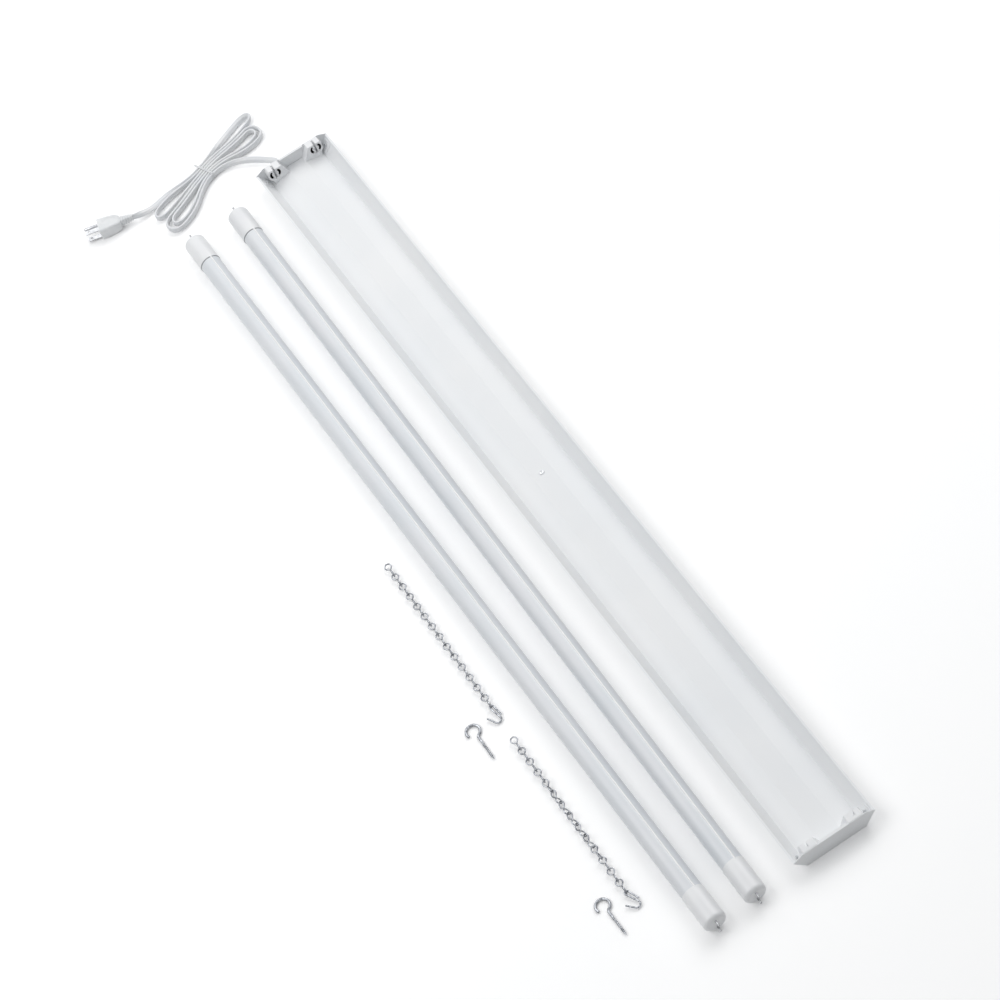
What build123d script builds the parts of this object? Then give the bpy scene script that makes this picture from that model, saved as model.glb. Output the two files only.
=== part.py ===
from build123d import *
from math import atan2, cos, degrees, hypot, pi, radians, sin, sqrt, tan
import os

# Led grow light fixture for two lamps, with its parts laid out beside each other.
# +X runs along the housing, +Z points out of its open side, and the origin is the
# middle of the housing's back, which lies on the floor. All sizes are millimetres.

# Housing, a folded steel tray
housing_length = 1226.0
back_half_width = 38.5
rim_half_width = 53.0
rim_height = 20.5
shell_sheet = 0.8
lip_width = 3.0
hanger_slot_length = 12.0
hanger_slot_width = 3.8
hanger_slot_inset = 110.0
hanger_slot_half_gap = 25.0

# End plates with their folded tabs
plate_sheet = 1.0
plate_top = 26.8
plate_top_half = 41.0
tab_length = 14.0
tab_sheet = 0.8
tab_low = 4.0
tab_high = 16.0
flange_length = 2.4
flange_half_width = 17.5

# Wireway cover down the middle
cover_sheet = 0.6
cover_top = 7.2
cover_band_half = 13.1
cover_edge_gap = 0.5
cover_end_gap = 0.4

# Fasteners
screw_head_radius = 3.2
screw_head_height = 1.9
screw_shank_radius = 1.6
screw_hole_gap = 0.15
plate_screw_height = 10.5
plate_screw_inset = 8.5
plate_screw_reach = 3.6
post_radius = 4.0

# Lampholders and their rotors
lamp_half_spacing = 30.3
lamp_axis_height = 18.7
holder_depth = 10.5
holder_top = 27.2
holder_inner_top = 20.4
holder_outer_top = 38.0
holder_outer = 39.6
holder_outer_low = 36.0
holder_low_height = 9.0
holder_inner_foot = 11.8
pocket_radius = 7.8
pocket_depth = 7.6
pin_slot = 2.8
rotor_gap = 0.3
rotor_hub_radius = 4.7
rotor_base = 1.6
rotor_bite_half_angle = 50.0

# Lamps, each a half diffuser on a half heat sink
lamp_length = 1199.4
lamp_radius = 13.4
diffuser_wall = 0.9
sink_wall = 1.2
board_width = 11.0
board_sheet = 1.2
cap_radius = 14.0
cap_length = 46.0
cap_wall = 3.0
cap_edge = 2.4
cap_gap = 0.15
pin_radius = 1.2
pin_length = 7.1
pin_spacing = 12.7
lamp_roll = 18.0
lamp_places = {1: (17.6, -160.3, 0.41), 2: (16.6, -101.8, -0.18)}

# Jack chains: each link is one wire with a flat ring and an upright ring
wire_radius = 0.9
ring_radius = 4.0
link_gap = 0.36
link_bend = 1.3
link_end_gap = 0.3
link_count = 14
links_per_segment = (3, 3, 3, 3, 2)
chain_axis_height = ring_radius + wire_radius + 0.05
chain_places = {"a": (-7.7, -210.5), "b": (283.2, -212.3)}
chain_rolls = {
    "a": (0, 0, 0, 0, 0, 0, 0, 0, 0, 0, 0, 0, 0, 0),
    "b": (0, 0, 0, 0, 22, 44, 44, 44, 44, 44, 22, 0, 0, 0),
}

# Wire hooks at the chains' ends
hook_wire_radius = 1.1
hook_eye_radius = 2.3
hook_eye_leg = 14.5
hook_long_leg = 15.8
hook_bend_radius = 4.3
hook_free_leg = 11.0
hook_eye_height = 3.9
hook_tilt = 5.0
hook_turns = {"a": 0.0, "b": 14.0}

# Ceiling screw hooks
screw_wire_radius = 1.6
screw_ring_radius = 8.2
screw_ring_start = -64.0
screw_ring_sweep = 271.0
screw_neck_radius = 4.0
screw_shank_length = 30.0
screw_point_length = 5.0
screw_hook_places = {1: (242.0, -243.2, 0.0), 2: (516.6, -241.2, 1.5)}

# Flat three core cord, lying on its edge
cord_width = 8.4
cord_thickness = 3.4
cord_height = 5.5
tie_place = (-678.5, -97.0)
hank_lean = 22.1
pass_pitch = 3.9
pass_order = (0, 3, 2, 1, 4, 5, 6)
fold_radius = 7.4
outer_fold_radius = 12.6
fold_start = 71.0
lead_arc_radius = 36.0
lead_arc = 57.0
tail_arc_radius = 118.0
tail_arc = 20.0

# The hank's folds in the cord's order: sideways place, radius and straight run before it
hank_folds = (
    (16.5, outer_fold_radius, 10.0),
    (16.6, fold_radius, 2.0),
    (15.8, fold_radius, 5.0),
    (17.5, outer_fold_radius, 3.0),
    (-10.9, fold_radius, 9.0),
    (-7.4, fold_radius, 19.5),
)

# Cord bushing, tie and plug
bushing_size = (5.0, 8.0, 11.4)
bushing_y = -14.0
bushing_neck_radius = 2.0
bushing_neck_height = 3.6
tie_gap = 0.3
tie_sheet = 0.7
tie_width = 3.6
tie_end = 5.0
plug_place = (-676.9, -207.4)
plug_heading = 255.0
plug_height = 9.2
relief_length = 16.0
relief_rear = (11.0, 6.4)
relief_front = (13.0, 11.5)
relief_groove = 1.4
relief_grooves = 4
plug_length = 29.0
plug_front = (22.6, 18.2)
plug_rear = (16.0, 13.0)
plug_corner = 2.6
blade_length = 17.5
blade_width = 6.3
blade_sheet = 1.5
blade_spacing = 12.7
blade_offset = 4.6
blade_hole_radius = 1.6
ground_offset = -7.3
ground_radius = 2.4
ground_length = 19.5

# Values that follow from the sizes above
wall_slope = (rim_half_width - back_half_width) / rim_height
wall_stretch = sqrt(1 + wall_slope ** 2)
wall_lean = atan2(rim_half_width - back_half_width, rim_height)
shell_half = housing_length / 2 - plate_sheet
cover_half = shell_half - cover_end_gap
holder_face = shell_half - holder_depth
link_half = ring_radius * sqrt(2)
link_pitch = 2 * (link_half + ring_radius - wire_radius) - link_gap
lamp_height = cap_radius


def wall_inner(height):
    """Half width of the tray's inside at a height above the floor."""
    return back_half_width + wall_slope * height - shell_sheet * wall_stretch


cover_foot = wall_inner(shell_sheet) - cover_edge_gap
cover_slope = atan2(cover_top - shell_sheet, cover_foot - cover_band_half)


def cover_height(half_width):
    """Height of the cover's sloping side at a distance from the middle."""
    return cover_top - (half_width - cover_band_half) * tan(cover_slope)


def wall_plane(end, side):
    """Plane on the wall's outer face at a plate screw, facing outwards."""
    half_width = back_half_width + wall_slope * plate_screw_height
    return Plane(
        origin=(end * (shell_half - plate_screw_inset), side * half_width, plate_screw_height),
        z_dir=(0, side * cos(wall_lean), -sin(wall_lean)),
    )


def finish(builder, name):
    """Label a finished piece, write it and print its volume."""
    builder.part.label = name
    export_step(builder.part, f"parts/{name}.step")
    print(f"{name}: {len(builder.part.solids())} solid, {builder.part.volume:.0f} mm3")


def placed_wire(builder, plane=Plane.XY):
    """The lines of a builder joined into one wire and placed on their plane."""
    return plane.from_local_coords(Wire(builder.line.edges()))


os.makedirs("parts", exist_ok=True)
corners = [(end, side) for end in (-1, 1) for side in (-1, 1)]
end_names = {-1: "far", 1: "near"}
side_names = {-1: "left", 1: "right"}

# Housing shell: flat back, flared walls and a narrow lip folded in at each rim
with BuildPart() as housing_shell:
    with BuildSketch(Plane.YZ.offset(-shell_half)):
        with BuildLine():
            outline = Polyline(
                (lip_width - rim_half_width, rim_height),
                (-rim_half_width, rim_height),
                (-back_half_width, 0),
                (back_half_width, 0),
                (rim_half_width, rim_height),
                (rim_half_width - lip_width, rim_height),
            )
            offset(outline, amount=shell_sheet, side=Side.LEFT)
        make_face()
    extrude(amount=2 * shell_half)
    with Locations(*[Location(wall_plane(end, side)) for end, side in corners]):
        Cylinder(screw_shank_radius + screw_hole_gap, 4 * shell_sheet, mode=Mode.SUBTRACT)
    with BuildSketch():
        with GridLocations(housing_length - 2 * hanger_slot_inset, 2 * hanger_slot_half_gap, 2, 2):
            SlotOverall(hanger_slot_length, hanger_slot_width)
    extrude(amount=shell_sheet, mode=Mode.SUBTRACT)
finish(housing_shell, "housing_shell")

# Wireway cover: a raised middle band with sloping sides that stand on the tray
sheet_run = cover_sheet / sin(cover_slope)
inner_band = cover_band_half - cover_sheet * tan(cover_slope / 2)
cover_side = [
    (cover_band_half, cover_top),
    (cover_foot, shell_sheet),
    (cover_foot - sheet_run, shell_sheet),
    (inner_band, cover_top - cover_sheet),
]
with BuildPart() as wireway_cover:
    with BuildSketch(Plane.YZ.offset(-cover_half)):
        with BuildLine():
            Polyline(cover_side + [(-y, z) for y, z in reversed(cover_side)], close=True)
        make_face()
    extrude(amount=2 * cover_half)
    with Locations((0, 0, cover_top)):
        Cylinder(screw_shank_radius + screw_hole_gap, 4 * cover_sheet, mode=Mode.SUBTRACT)
finish(wireway_cover, "wireway_cover")

# Stand-off post under the cover's middle, and the screw that goes down into it
post_top = cover_top - cover_sheet
with BuildPart() as cover_post:
    with BuildSketch(Plane.XY.offset(shell_sheet)):
        Circle(post_radius)
        Circle(screw_shank_radius + screw_hole_gap, mode=Mode.SUBTRACT)
    extrude(amount=post_top - shell_sheet)
finish(cover_post, "cover_post")

with BuildPart() as cover_screw:
    with BuildSketch(Plane.XY.offset(cover_top)):
        Circle(screw_head_radius)
    extrude(amount=screw_head_height)
    fillet(cover_screw.edges().group_by(Axis.Z)[-1], 0.5 * screw_head_height)
    with BuildSketch(Plane.XY.offset(cover_top)):
        Circle(screw_shank_radius)
    extrude(amount=2 * shell_sheet - cover_top)
finish(cover_screw, "cover_screw")

# End plates: the tray's outline with a raised top edge, two tabs folded in along
# the walls and a short flange folded in along the top
plate_side = [
    (back_half_width, 0),
    (rim_half_width, rim_height),
    (plate_top_half, plate_top),
]
for end in (-1, 1):
    with BuildPart() as end_plate:
        with BuildSketch(Plane.YZ.offset(end * shell_half)):
            with BuildLine():
                Polyline(plate_side + [(-y, z) for y, z in reversed(plate_side)], close=True)
            make_face()
        extrude(amount=end * plate_sheet)
        with BuildSketch(Plane.YZ.offset(end * shell_half)):
            with BuildLine():
                Polyline(
                    (wall_inner(tab_low), tab_low),
                    (wall_inner(tab_high), tab_high),
                    (wall_inner(tab_high) - tab_sheet * wall_stretch, tab_high),
                    (wall_inner(tab_low) - tab_sheet * wall_stretch, tab_low),
                    close=True,
                )
            make_face()
            mirror(about=Plane.YZ)
        extrude(amount=-end * tab_length)
        with BuildSketch(Plane.YZ.offset(end * shell_half)):
            with Locations((0, plate_top - tab_sheet / 2)):
                Rectangle(2 * flange_half_width, tab_sheet)
        extrude(amount=-end * flange_length)
        with Locations(*[Location(wall_plane(end, side)) for side in (-1, 1)]):
            Cylinder(screw_shank_radius + screw_hole_gap, 6 * shell_sheet, mode=Mode.SUBTRACT)
        if end < 0:
            with Locations(Plane.YZ.offset(-housing_length / 2)):
                with Locations((bushing_y, bushing_neck_height)):
                    Cylinder(bushing_neck_radius, 4 * plate_sheet, mode=Mode.SUBTRACT)
    finish(end_plate, f"end_plate_{end_names[end]}")

# Plate screws: heads outside the walls, shanks through the wall and the tab
with BuildPart() as plate_screws:
    for end, side in corners:
        with BuildSketch(wall_plane(end, side)):
            Circle(screw_head_radius)
        extrude(amount=0.8 * screw_head_height)
        with BuildSketch(wall_plane(end, side)):
            Circle(screw_shank_radius)
        extrude(amount=-plate_screw_reach)
    heads = plate_screws.faces().filter_by(GeomType.PLANE).group_by(SortBy.AREA)[-1]
    chamfer(heads.edges(), 0.4 * screw_head_height)
finish(plate_screws, "plate_screws")


def holder_points(side):
    """Outline of a lampholder, standing on the cover's band and slope."""
    points = [
        (holder_inner_foot, cover_top),
        (cover_band_half, cover_top),
        (holder_outer_low - 2, cover_height(holder_outer_low - 2)),
        (holder_outer_low, holder_low_height),
        (holder_outer, holder_low_height + 4),
        (holder_outer, holder_top - 3),
        (holder_outer_top, holder_top),
        (holder_inner_top, holder_top),
    ]
    return [(side * y, z) for y, z in points]


# Lampholders: tapered blocks on the end plates, open at the top for the lamp's pins
for end, side in corners:
    name = f"{end_names[end]}_{side_names[side]}"
    face = Plane.YZ.offset(end * holder_face)
    centre = (side * lamp_half_spacing, lamp_axis_height)
    with BuildPart() as lampholder:
        with BuildSketch(face):
            with BuildLine():
                Polyline(holder_points(side), close=True)
            make_face()
        extrude(amount=end * holder_depth)
        with BuildSketch(face):
            with Locations(centre):
                Circle(pocket_radius)
            with Locations((side * lamp_half_spacing, (lamp_axis_height + holder_top) / 2)):
                Rectangle(pin_slot, holder_top - lamp_axis_height)
        extrude(amount=end * pocket_depth, mode=Mode.SUBTRACT)
    finish(lampholder, f"lampholder_{name}")

    # Rotor: a round base with a slotted hub that is open at both sides, turned by the
    # lamp's pins
    with BuildPart() as rotor:
        base_depth = pocket_depth - rotor_gap
        with BuildSketch(Plane.YZ.offset(end * (holder_face + base_depth))):
            with Locations(centre):
                Circle(pocket_radius - rotor_gap)
        extrude(amount=-end * rotor_base)
        with BuildSketch(Plane.YZ.offset(end * (holder_face + base_depth - rotor_base))):
            with Locations(centre):
                Circle(pocket_radius - rotor_gap)
                Rectangle(pin_slot, 3 * pocket_radius, mode=Mode.SUBTRACT)
        extrude(amount=-end * (base_depth - rotor_base - rotor_gap))
        with BuildSketch(Plane.YZ.offset(end * (holder_face + base_depth - rotor_base))):
            with Locations(centre):
                bite = 1.5 * pocket_radius
                bite_rise = bite * tan(radians(rotor_bite_half_angle))
                for bite_side in (-1, 1):
                    Polygon((0, 0), (bite_side * bite, bite_rise), (bite_side * bite, -bite_rise), align=None)
                Circle(rotor_hub_radius, mode=Mode.SUBTRACT)
        extrude(amount=-end * base_depth, mode=Mode.SUBTRACT)
    finish(rotor, f"rotor_{name}")


def lamp_plane(number, along, roll=0.0):
    """Plane across a lamp at a distance along its axis, its X axis towards +Y."""
    x, y, yaw = lamp_places[number]
    axis = Vector(cos(radians(yaw)), sin(radians(yaw)), 0)
    level = Vector(-sin(radians(yaw)), cos(radians(yaw)), 0)
    sideways = level * cos(radians(roll)) - Vector(0, 0, sin(radians(roll)))
    return Plane(origin=Vector(x, y, lamp_height) + axis * along, x_dir=sideways, z_dir=axis)


# Lamps: diffuser, heat sink, board, two caps and four pins
body_half = lamp_length / 2 - cap_wall
for number in lamp_places:
    start = lamp_plane(number, -body_half, lamp_roll)
    with BuildPart() as diffuser:
        with BuildSketch(start):
            Circle(lamp_radius)
            Circle(lamp_radius - diffuser_wall, mode=Mode.SUBTRACT)
            with Locations((lamp_radius, 0)):
                Rectangle(2 * lamp_radius, 3 * lamp_radius, mode=Mode.SUBTRACT)
        extrude(amount=2 * body_half)
    finish(diffuser, f"lamp_{number}_diffuser")

    with BuildPart() as heat_sink:
        with BuildSketch(start):
            Circle(lamp_radius)
            with Locations((-lamp_radius, 0)):
                Rectangle(2 * lamp_radius, 3 * lamp_radius, mode=Mode.SUBTRACT)
        extrude(amount=2 * body_half)
        with BuildSketch(start):
            Circle(lamp_radius - sink_wall)
            with Locations((sink_wall - lamp_radius, 0)):
                Rectangle(2 * lamp_radius, 3 * lamp_radius, mode=Mode.SUBTRACT)
        extrude(amount=2 * body_half, mode=Mode.SUBTRACT)
    finish(heat_sink, f"lamp_{number}_heat_sink")

    with BuildPart() as led_board:
        with BuildSketch(start):
            with Locations((-board_sheet / 2, 0)):
                Rectangle(board_sheet, board_width)
        extrude(amount=2 * body_half)
    finish(led_board, f"lamp_{number}_board")

    for end in (-1, 1):
        with BuildPart() as cap:
            with BuildSketch(lamp_plane(number, end * lamp_length / 2)):
                Circle(cap_radius)
            extrude(amount=-end * cap_length)
            with BuildSketch(lamp_plane(number, end * (lamp_length / 2 - cap_wall))):
                Circle(lamp_radius + cap_gap)
            extrude(amount=-end * (cap_length - cap_wall), mode=Mode.SUBTRACT)
            outer_end = cap.faces().filter_by(GeomType.PLANE).sort_by(Axis.X)[-1 if end > 0 else 0]
            chamfer(outer_end.edges(), cap_edge)
        finish(cap, f"lamp_{number}_cap_{end_names[end]}")

    with BuildPart() as pins:
        for end in (-1, 1):
            with BuildSketch(lamp_plane(number, end * lamp_length / 2)):
                with GridLocations(pin_spacing, pin_spacing, 1, 2):
                    Circle(pin_radius)
            extrude(amount=end * pin_length)
    finish(pins, f"lamp_{number}_pins")


def link_plane(chain, index):
    """Plane of a link's flat ring, its origin at the link's crossing."""
    x, y = chain_places[chain]
    roll = radians(chain_rolls[chain][index])
    return Plane(
        origin=(x + link_half + index * link_pitch, y, chain_axis_height),
        x_dir=(1, 0, 0),
        z_dir=(0, -sin(roll), cos(roll)),
    )


def link_wire():
    """Centre line of a link: round the flat ring, through the crossing, round the other."""
    slant = 1 / sqrt(2)
    start = link_end_gap + wire_radius
    touch = (ring_radius * slant - link_half, ring_radius * slant)
    Line((-start * slant, -start * slant, 0), (touch[0], -touch[1], 0))
    ThreePointArc((touch[0], -touch[1], 0), (-link_half - ring_radius, 0, 0), (touch[0], touch[1], 0))
    reach = link_bend * tan(radians(30))
    first = Vector(slant, -slant, 0)
    second = Vector(slant, 0, slant)
    inward = (second - first).normalized()
    sag = link_bend / cos(radians(30)) - link_bend
    Line((touch[0], touch[1], 0), first * -reach)
    ThreePointArc(first * -reach, inward * sag, second * reach)
    Line(second * reach, (-touch[0], 0, touch[1]))
    ThreePointArc((-touch[0], 0, touch[1]), (link_half + ring_radius, 0, 0), (-touch[0], 0, -touch[1]))
    Line((-touch[0], 0, -touch[1]), (start * slant, 0, -start * slant))


# Chains: each segment holds a few links, and the wire is four sided to stay light
for chain in chain_places:
    index = 0
    for segment, count in enumerate(links_per_segment, start=1):
        with BuildPart() as chain_segment:
            for _ in range(count):
                with BuildLine() as centre_line:
                    link_wire()
                path = placed_wire(centre_line, link_plane(chain, index))
                with BuildSketch(Plane(origin=path @ 0, z_dir=path % 0)):
                    RegularPolygon(wire_radius, 4)
                sweep(path=path)
                index = index + 1
        finish(chain_segment, f"chain_{chain}_links_{segment}")

# Wire hooks: a narrow eye in the chain's last ring and an open bend at the other end
last_ring = (link_count - 1) * link_pitch + 2 * link_half
eye_reach = wire_radius + hook_wire_radius + 2 * link_gap - hook_eye_radius
for chain in chain_places:
    x, y = chain_places[chain]
    tilt = radians(hook_tilt)
    turn = radians(hook_turns[chain])
    hook_plane = Plane(
        origin=(x + last_ring + ring_radius - eye_reach, y, hook_eye_height),
        x_dir=(cos(turn) * cos(tilt), sin(turn) * cos(tilt), -sin(tilt)),
        z_dir=(cos(turn) * sin(tilt), sin(turn) * sin(tilt), cos(tilt)),
    )
    with BuildPart() as wire_hook:
        with BuildLine() as hook_line:
            eye_start = Vector(hook_eye_radius, 0).rotate(Axis.Z, 98)
            eye_tangent = Vector(1, 0).rotate(Axis.Z, 188)
            short_leg = Line(eye_start - eye_tangent * hook_eye_leg, eye_start)
            eye = JernArc(start=short_leg @ 1, tangent=short_leg % 1, radius=hook_eye_radius, arc_size=186)
            long_leg = Line(eye @ 1, (eye @ 1) + (eye % 1) * hook_long_leg)
            bend = JernArc(start=long_leg @ 1, tangent=long_leg % 1, radius=hook_bend_radius, arc_size=-166)
            Line(bend @ 1, (bend @ 1) + (bend % 1) * hook_free_leg)
        path = placed_wire(hook_line, hook_plane)
        with BuildSketch(Plane(origin=path @ 0, z_dir=path % 0)):
            RegularPolygon(hook_wire_radius, 6)
        sweep(path=path)
    finish(wire_hook, f"chain_{chain}_hook")

# Ceiling screw hooks: an open ring, a neck and a pointed shank
for number, (x, y, turn) in screw_hook_places.items():
    with BuildPart() as screw_hook:
        ring_plane = Plane(
            origin=(x, y, screw_wire_radius + 0.05),
            x_dir=(cos(radians(turn)), sin(radians(turn)), 0),
            z_dir=(0, 0, 1),
        )
        with BuildLine() as screw_line:
            ring = CenterArc((0, 0), screw_ring_radius, screw_ring_start, -screw_ring_sweep)
            neck_turn = screw_ring_sweep - screw_ring_start - 270
            neck = JernArc(start=ring @ 1, tangent=ring % 1, radius=screw_neck_radius, arc_size=neck_turn)
            shank = Line(neck @ 1, (neck @ 1) + (neck % 1) * screw_shank_length)
        path = placed_wire(screw_line, ring_plane)
        with BuildSketch(Plane(origin=path @ 0, z_dir=path % 0)):
            RegularPolygon(screw_wire_radius, 8)
        sweep(path=path)
        shank_end = path @ 1
        shank_heading = path % 1
        with BuildSketch(Plane(origin=shank_end, z_dir=shank_heading)) as shank_section:
            Circle(screw_wire_radius)
        with BuildSketch(Plane(origin=shank_end + shank_heading * screw_point_length, z_dir=shank_heading)):
            Circle(0.15 * screw_wire_radius)
        loft()
    finish(screw_hook, f"screw_hook_{number}")

# Cord bushing outside the far plate, with a neck through it under the cover
bushing_face = housing_length / 2 + bushing_size[0]
with BuildPart() as cord_bushing:
    with BuildSketch(Plane.YZ.offset(-bushing_face)):
        with Locations((bushing_y, cord_height)):
            RectangleRounded(bushing_size[1], bushing_size[2] - 0.8, 2.0)
    extrude(amount=bushing_size[0])
    with BuildSketch(Plane.YZ.offset(-housing_length / 2)):
        with Locations((bushing_y, bushing_neck_height)):
            Circle(bushing_neck_radius - 0.1)
    extrude(amount=plate_sheet + 0.3)
finish(cord_bushing, "cord_bushing")

# The hank has its own frame: origin at the tie, Y along the hank to its upper folds
lean = radians(hank_lean)
hank_plane = Plane(
    origin=(*tie_place, cord_height),
    x_dir=(cos(lean), sin(lean), 0),
    z_dir=(0, 0, 1),
)


def cord_section(path):
    """Section of the flat cord on its edge, square to the start of its centre line."""
    with BuildSketch(Plane(origin=path @ 0, x_dir=(0, 0, 1), z_dir=path % 0)) as section:
        Rectangle(cord_width, cord_thickness)
    return section.sketch


def bend_run(start_x, end_x):
    """Radius and turn of the two equal arcs that shift a run sideways towards a fold."""
    shift = abs(end_x - start_x)
    turn = 2 * degrees(atan2(shift, fold_start))
    radius = (fold_start ** 2 + shift ** 2) / (4 * shift)
    return radius, turn


def pass_x(number):
    """Sideways place of a pass at the tie."""
    return ((len(pass_order) - 1) / 2 - number) * pass_pitch


# Hank: seven passes through the tie, joined by three folds at each end. At either end
# one fold lies inside another.
with BuildPart() as cord_hank:
    with BuildLine() as hank_line:
        arc_start = Vector(
            pass_x(0) + lead_arc_radius * (1 - cos(radians(lead_arc))),
            lead_arc_radius * sin(radians(lead_arc)),
        )
        arc_heading = Vector(-sin(radians(lead_arc)), -cos(radians(lead_arc)))
        hank_start = arc_start - arc_heading * cord_width
        here = Line(hank_start, arc_start)
        here = JernArc(start=here @ 1, tangent=here % 1, radius=lead_arc_radius, arc_size=lead_arc)
        for number, (centre_x, radius_here, straight) in enumerate(hank_folds):
            pair = pass_order[number:number + 2]
            end_sign = 1 if number % 2 == 1 else -1
            side_sign = 1 if pair[1] > pair[0] else -1
            for leg in (0, 1):
                leg_x = pass_x(pair[leg])
                fold_side = centre_x + radius_here * side_sign * (1 if leg == 0 else -1)
                radius, turn = bend_run(leg_x, fold_side)
                swing = (1 if fold_side > leg_x else -1) * end_sign
                if leg == 1:
                    here = Line(here @ 1, (here @ 1) + (here % 1) * straight)
                here = JernArc(start=here @ 1, tangent=here % 1, radius=radius, arc_size=-swing * turn)
                here = JernArc(start=here @ 1, tangent=here % 1, radius=radius, arc_size=swing * turn)
                if leg == 0:
                    here = Line(here @ 1, (here @ 1) + (here % 1) * straight)
                    fold_turn = 180 * side_sign * end_sign
                    here = JernArc(start=here @ 1, tangent=here % 1, radius=radius_here, arc_size=fold_turn)
        here = JernArc(start=here @ 1, tangent=here % 1, radius=tail_arc_radius, arc_size=-tail_arc)
        here = Line(here @ 1, (here @ 1) + (here % 1) * cord_width)
    hank_path = placed_wire(hank_line, hank_plane)
    sweep(cord_section(hank_path), path=hank_path)
finish(cord_hank, "cord_hank")
hank_begin = hank_path @ 0
hank_end = hank_path @ 1
hank_end_heading = hank_path % 1
hank_begin_heading = hank_path % 0

# Lead and tail: straight runs joined by arcs as large as the runs allow
lead_points = [
    (-bushing_face, bushing_y, cord_height),
    (-bushing_face - 12.5, bushing_y, cord_height),
    tuple(hank_begin - hank_begin_heading * 13.0),
    tuple(hank_begin),
]
relief_heading = Vector(cos(radians(plug_heading)), sin(radians(plug_heading)), 0)
relief_start = Vector(*plug_place, plug_height)
tail_points = [
    tuple(hank_end),
    tuple(hank_end + hank_end_heading * 12.5),
    (-675.8, -180.5, cord_height + 1.2),
    tuple(relief_start - relief_heading * 12.0),
    tuple(relief_start),
]


def cord_radii(points):
    """Radius at each corner: 0.45 of the shorter run over the tangent of half the turn."""
    corners_at = [Vector(point) for point in points]
    radii = []
    for before, corner, after in zip(corners_at, corners_at[1:], corners_at[2:]):
        turn = (corner - before).get_angle(after - corner)
        shorter = min((corner - before).length, (after - corner).length)
        radii.append(0.45 * shorter / tan(radians(turn) / 2))
    return radii


for name, points in (("cord_lead", lead_points), ("cord_tail", tail_points)):
    radii = cord_radii(points)
    with BuildPart() as stretch:
        with BuildLine() as route:
            FilletPolyline(*points, radius=radii)
        path = placed_wire(route)
        sweep(cord_section(path), path=path)
    finish(stretch, name)
    section_area = cord_width * cord_thickness
    print(f"  radii {[round(radius, 1) for radius in radii]}, length {path.length:.1f},"
          f" section times length {section_area * path.length:.0f} mm3")

# The hank's length and its least gap to itself, measured on points along it
hank_length = hank_path.length
steps = int(hank_length / 2.0)
samples = [hank_path @ (number / steps) for number in range(steps + 1)]
apart = int(4 * cord_thickness / 2.0) + 3
least = min(
    (samples[i] - samples[j]).length
    for i in range(0, len(samples), 1)
    for j in range(i + apart, len(samples))
)
print(f"  hank length {hank_length:.0f} mm, least gap to itself {least - cord_thickness:.2f} mm")

# Tie: a thin band round the seven passes, with one end left standing out
tie_half_width = pass_x(0) + cord_thickness / 2 + tie_gap + tie_sheet
tie_half_height = cord_width / 2 + tie_gap + tie_sheet
with BuildPart() as cord_tie:
    tie_plane = Plane(
        origin=(*tie_place, cord_height),
        x_dir=(cos(lean), sin(lean), 0),
        z_dir=(-sin(lean), cos(lean), 0),
    )
    with BuildSketch(tie_plane):
        Rectangle(2 * tie_half_width, 2 * tie_half_height)
        Rectangle(2 * (tie_half_width - tie_sheet), 2 * (tie_half_height - tie_sheet), mode=Mode.SUBTRACT)
        with Locations((-tie_half_width - tie_end / 2, 0)):
            Rectangle(tie_end + tie_sheet, tie_sheet)
    extrude(amount=tie_width / 2, both=True)
finish(cord_tie, "cord_tie")


def plug_plane(along):
    """Plane across the plug, its X axis level and its Y axis up."""
    level = Vector(-relief_heading.Y, relief_heading.X, 0)
    return Plane(origin=relief_start + relief_heading * along, x_dir=level, z_dir=relief_heading)


def plug_section(along, size, corner):
    """Section of the plug with cut corners."""
    with BuildSketch(plug_plane(along)) as section:
        Rectangle(*size)
        chamfer(section.vertices(), corner)
    return section.sketch


# Plug body: ribbed strain relief and a moulded grip that widens to the front
plug_face = relief_length + plug_length
plug_shoulder = relief_length + 0.45 * plug_length
shoulder_size = (plug_front[0] - 1.5, plug_front[1] - 1.0)
with BuildPart() as plug_body:
    rear = plug_section(0, (relief_rear[1], relief_rear[0]), 1.4)
    loft([rear, plug_section(relief_length, (relief_front[1], relief_front[0]), 1.4)])
    for groove in range(relief_grooves):
        along = relief_length * (groove + 1) / (relief_grooves + 1)
        with BuildSketch(plug_plane(along - relief_groove / 2)):
            Rectangle(30, 30)
            Rectangle(relief_rear[1] - 1.6, relief_rear[0] - 1.6, mode=Mode.SUBTRACT)
        extrude(amount=relief_groove, mode=Mode.SUBTRACT)
    shoulder = plug_section(plug_shoulder, shoulder_size, plug_corner)
    loft([plug_section(relief_length, plug_rear, plug_corner), shoulder])
    loft([shoulder, plug_section(plug_face, plug_front, plug_corner)])
finish(plug_body, "plug_body")

# Plug blades, one above the other as the plug lies, and the round ground pin
with BuildPart() as plug_blades:
    with BuildSketch(plug_plane(plug_face)):
        with Locations((blade_offset, 0)):
            with GridLocations(blade_width, blade_spacing, 1, 2):
                Rectangle(blade_width, blade_sheet)
    extrude(amount=blade_length)
    with BuildSketch(Plane(origin=plug_plane(plug_face + 0.75 * blade_length).origin, z_dir=(0, 0, 1),
                           x_dir=plug_plane(0).x_dir)) as hole_sketch:
        with Locations((blade_offset, 0)):
            Circle(blade_hole_radius)
    extrude(amount=blade_spacing, both=True, mode=Mode.SUBTRACT)
finish(plug_blades, "plug_blades")

with BuildPart() as plug_ground_pin:
    with BuildSketch(plug_plane(plug_face)):
        with Locations((ground_offset, 0)):
            Circle(ground_radius)
    extrude(amount=ground_length)
    tip = plug_ground_pin.faces().filter_by(GeomType.PLANE).sort_by(Axis.Y)[0]
    fillet(tip.edges(), 0.6 * ground_radius)
finish(plug_ground_pin, "plug_ground_pin")
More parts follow.
